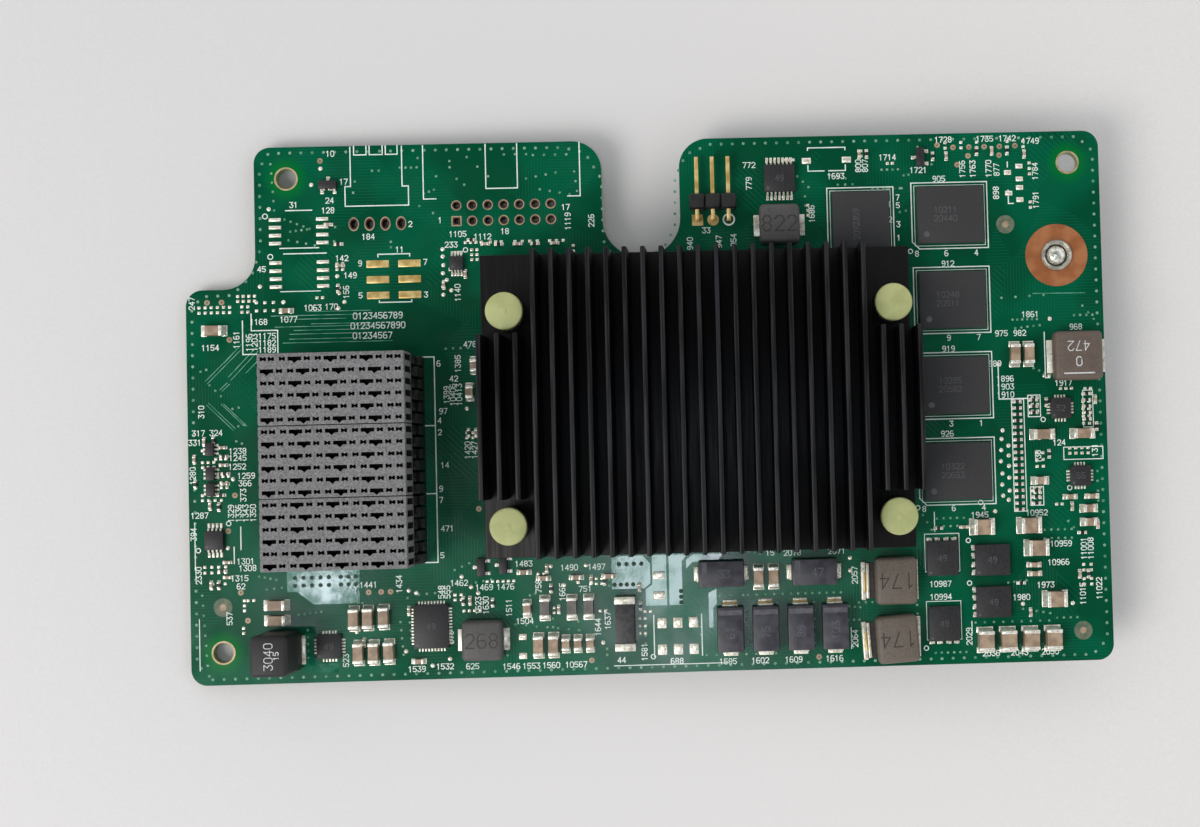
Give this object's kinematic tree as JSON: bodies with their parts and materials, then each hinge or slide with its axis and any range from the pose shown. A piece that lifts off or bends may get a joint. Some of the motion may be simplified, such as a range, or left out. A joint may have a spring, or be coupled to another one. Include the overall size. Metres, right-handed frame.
{
  "type": "mezzanine network card",
  "caption": "Green mezzanine network card with a finned heat sink on push pins, a slotted board-to-board socket, memory and power parts, and a sprung captive screw.",
  "frame": {"origin": "centre of the lower left mounting hole, on the board's component face", "axes": "+X along the card's long side, +Y across it towards the notched edge, +Z out of the component face"},
  "size_m": [0.1485, 0.0864, 0.0246],
  "materials": {
    "board_green": "glossy solder mask over fibreglass",
    "anodised_black": "black anodised",
    "lid_metal": "plated lid",
    "substrate": "laminate",
    "pad_grey": "soft thermal pad",
    "pin_ivory": "moulded nylon",
    "spring_steel": "drawn wire",
    "socket_grey": "moulded",
    "wafer_black": "moulded",
    "plated_steel": "nickel plated",
    "header_black": "moulded",
    "pin_gold": "gold plated",
    "chip_black": "moulded",
    "inductor_grey": "pressed powder",
    "inductor_brown": "pressed powder",
    "inductor_black": "pressed powder",
    "tinned": "tin plated",
    "capacitor_tan": "fired",
    "ferrite_dark": "fired"
  },
  "bodies": {
    "card": {"captive_screw_retainer": "plated_steel", "captive_screw_spring": "spring_steel", "chip_capacitors": "capacitor_tan", "chip_resistors": "chip_black", "circuit_board": "board_green", "clock_chip": "chip_black", "ferrite_beads": "ferrite_dark", "heat_sink": "anodised_black", "jumper_header_block": "header_black", "jumper_header_pins": "pin_gold", "large_chip_capacitors": "capacitor_tan", "logic_chip": "chip_black", "logic_chip_leads": "tinned", "memory_chip_1": "chip_black", "memory_chip_2": "chip_black", "memory_chip_3": "chip_black", "memory_chip_4": "chip_black", "memory_chip_5": "chip_black", "network_chip_lid": "lid_metal", "network_chip_substrate": "substrate", "power_bead": "ferrite_dark", "power_bead_caps": "tinned", "power_controller": "chip_black", "power_inductor_1": "inductor_grey", "power_inductor_2": "inductor_grey", "power_inductor_3": "inductor_brown", "power_inductor_4": "inductor_brown", "power_inductor_5": "inductor_brown", "power_inductor_6": "inductor_black", "power_inductor_terminals": "tinned", "power_transistor_1": "chip_black", "power_transistor_2": "chip_black", "power_transistor_3": "chip_black", "power_transistor_4": "chip_black", "power_transistor_leads": "tinned", "push_pin_springs": "spring_steel", "push_pins": "pin_ivory", "regulators": "chip_black", "sensor_chip": "chip_black", "small_chip_leads": "tinned", "small_transistors": "chip_black", "socket_cap_1": "socket_grey", "socket_cap_2": "socket_grey", "socket_cap_3": "socket_grey", "socket_wafers_1": "wafer_black", "socket_wafers_2": "wafer_black", "socket_wafers_3": "wafer_black", "switch_chips": "chip_black", "tantalum_capacitor_1": "chip_black", "tantalum_capacitor_2": "chip_black", "tantalum_capacitor_3": "chip_black", "tantalum_capacitor_4": "chip_black", "tantalum_capacitor_5": "chip_black", "tantalum_capacitor_6": "chip_black", "tantalum_leads": "tinned", "thermal_pad": "pad_grey"},
    "screw_washer": {"captive_screw_washer": "plated_steel"},
    "screw": {"captive_screw": "plated_steel"}
  },
  "joints": [
    {"name": "screw_travel", "type": "slide", "parent": "card", "child": "screw_washer", "axis": [0, 0, 1], "range_m": [0, 0.0026], "stiffness_N_per_m": 1500, "springref_m": -0.003, "deforming": ["captive_screw_spring"]},
    {"name": "screw_turn", "type": "hinge", "parent": "screw_washer", "child": "screw", "pos_m": [0.13584, 0.06083, 0], "axis": [0, 0, 1], "continuous": true}
  ]
}
